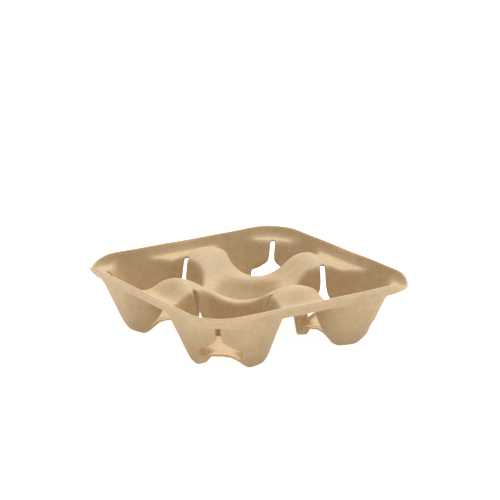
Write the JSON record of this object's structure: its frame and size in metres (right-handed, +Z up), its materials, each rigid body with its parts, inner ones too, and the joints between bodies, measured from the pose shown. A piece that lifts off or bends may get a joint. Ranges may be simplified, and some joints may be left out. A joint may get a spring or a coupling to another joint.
{
  "type": "moulded pulp four-cup carrier",
  "caption": "Square drink carrier moulded from paper pulp, with slit cup pockets, rounded humps between them, a bowl-shaped centre well and a banded rim",
  "frame": {"origin": "on the table under the middle of the carrier", "axes": "+Z up, X and Y along the sides of the square rim"},
  "size_m": [0.216, 0.216, 0.0567],
  "materials": {
    "pulp": "matte fibrous pulp"
  },
  "bodies": {
    "root": {"cup_carrier": "pulp"}
  },
  "joints": []
}
